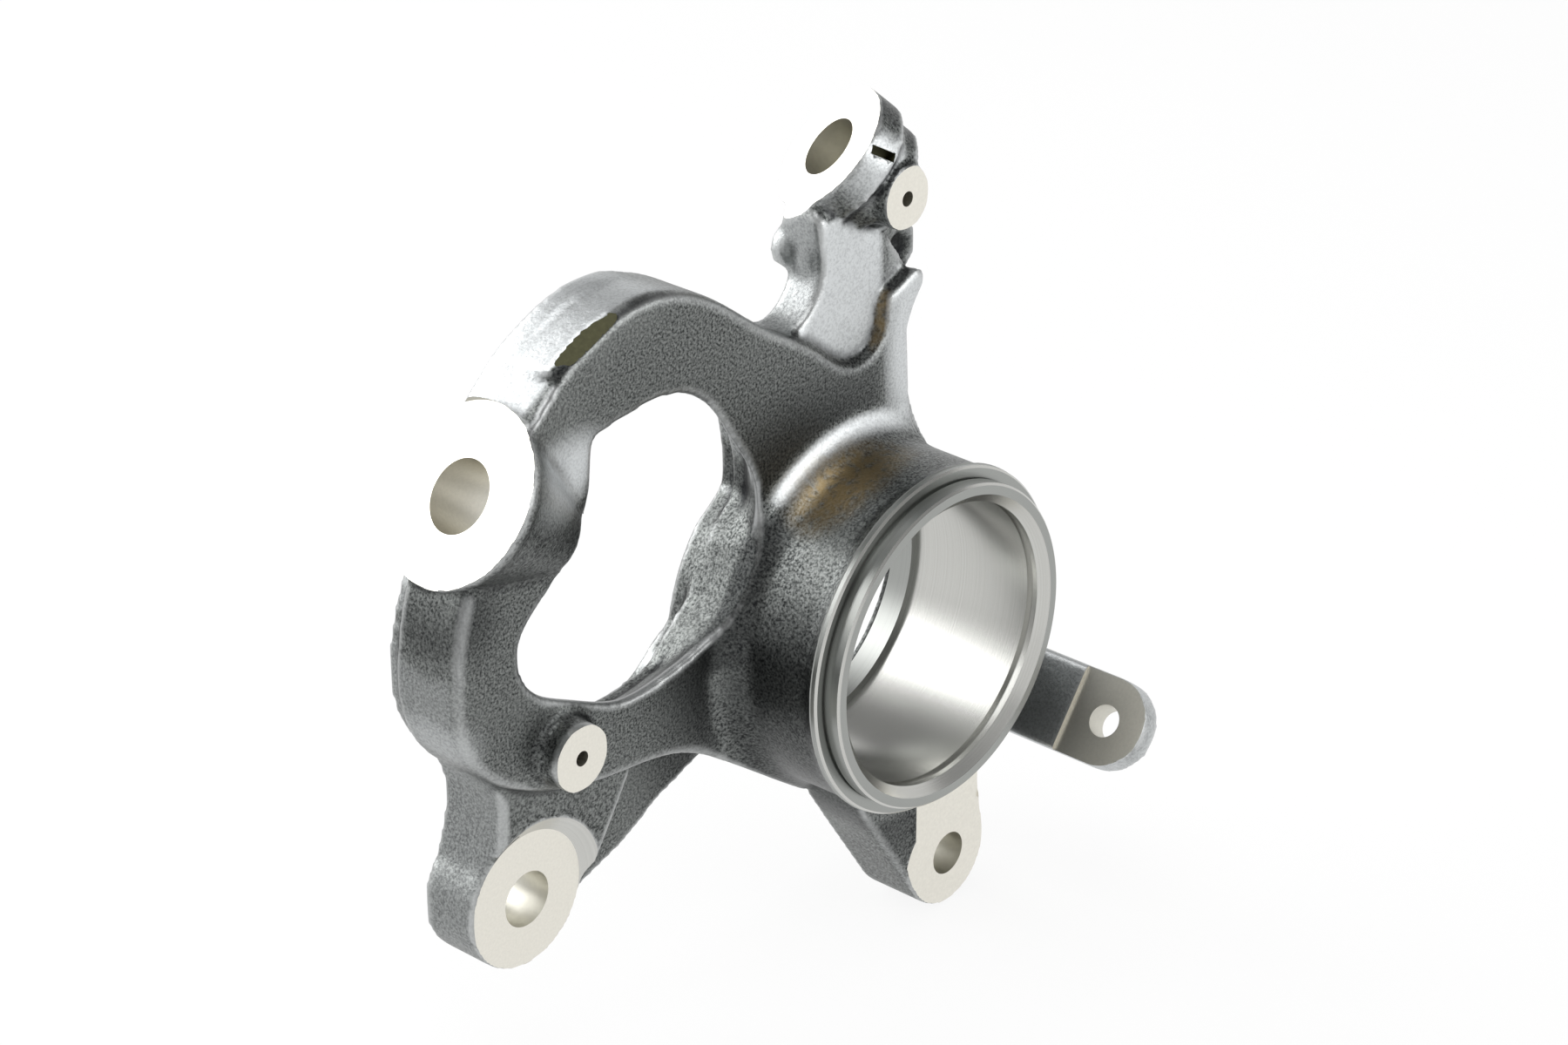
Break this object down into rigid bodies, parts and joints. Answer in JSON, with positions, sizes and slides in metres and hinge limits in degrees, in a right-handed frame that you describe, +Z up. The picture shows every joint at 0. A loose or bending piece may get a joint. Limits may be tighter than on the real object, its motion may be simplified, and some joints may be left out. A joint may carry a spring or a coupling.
{
  "type": "steering knuckle",
  "caption": "Cast iron steering knuckle: bored hub, kidney window ring, cross-drilled boss, lower ears, sensor tab and top lug.",
  "frame": {"origin": "on the axis of the wheel bearing's bore, inside the bearing seat, 21 mm behind the register's face", "axes": "-Y out of the bore's mouth, along the bore's axis; +Z up as pictured; +X to the right of the bore, towards the sensor tab, seen from the mouth"},
  "size_m": [0.2173, 0.0934, 0.2348],
  "materials": {
    "cast_iron": "as-cast skin with bright machined faces"
  },
  "bodies": {
    "root": {"knuckle_casting": "cast_iron"}
  },
  "joints": []
}
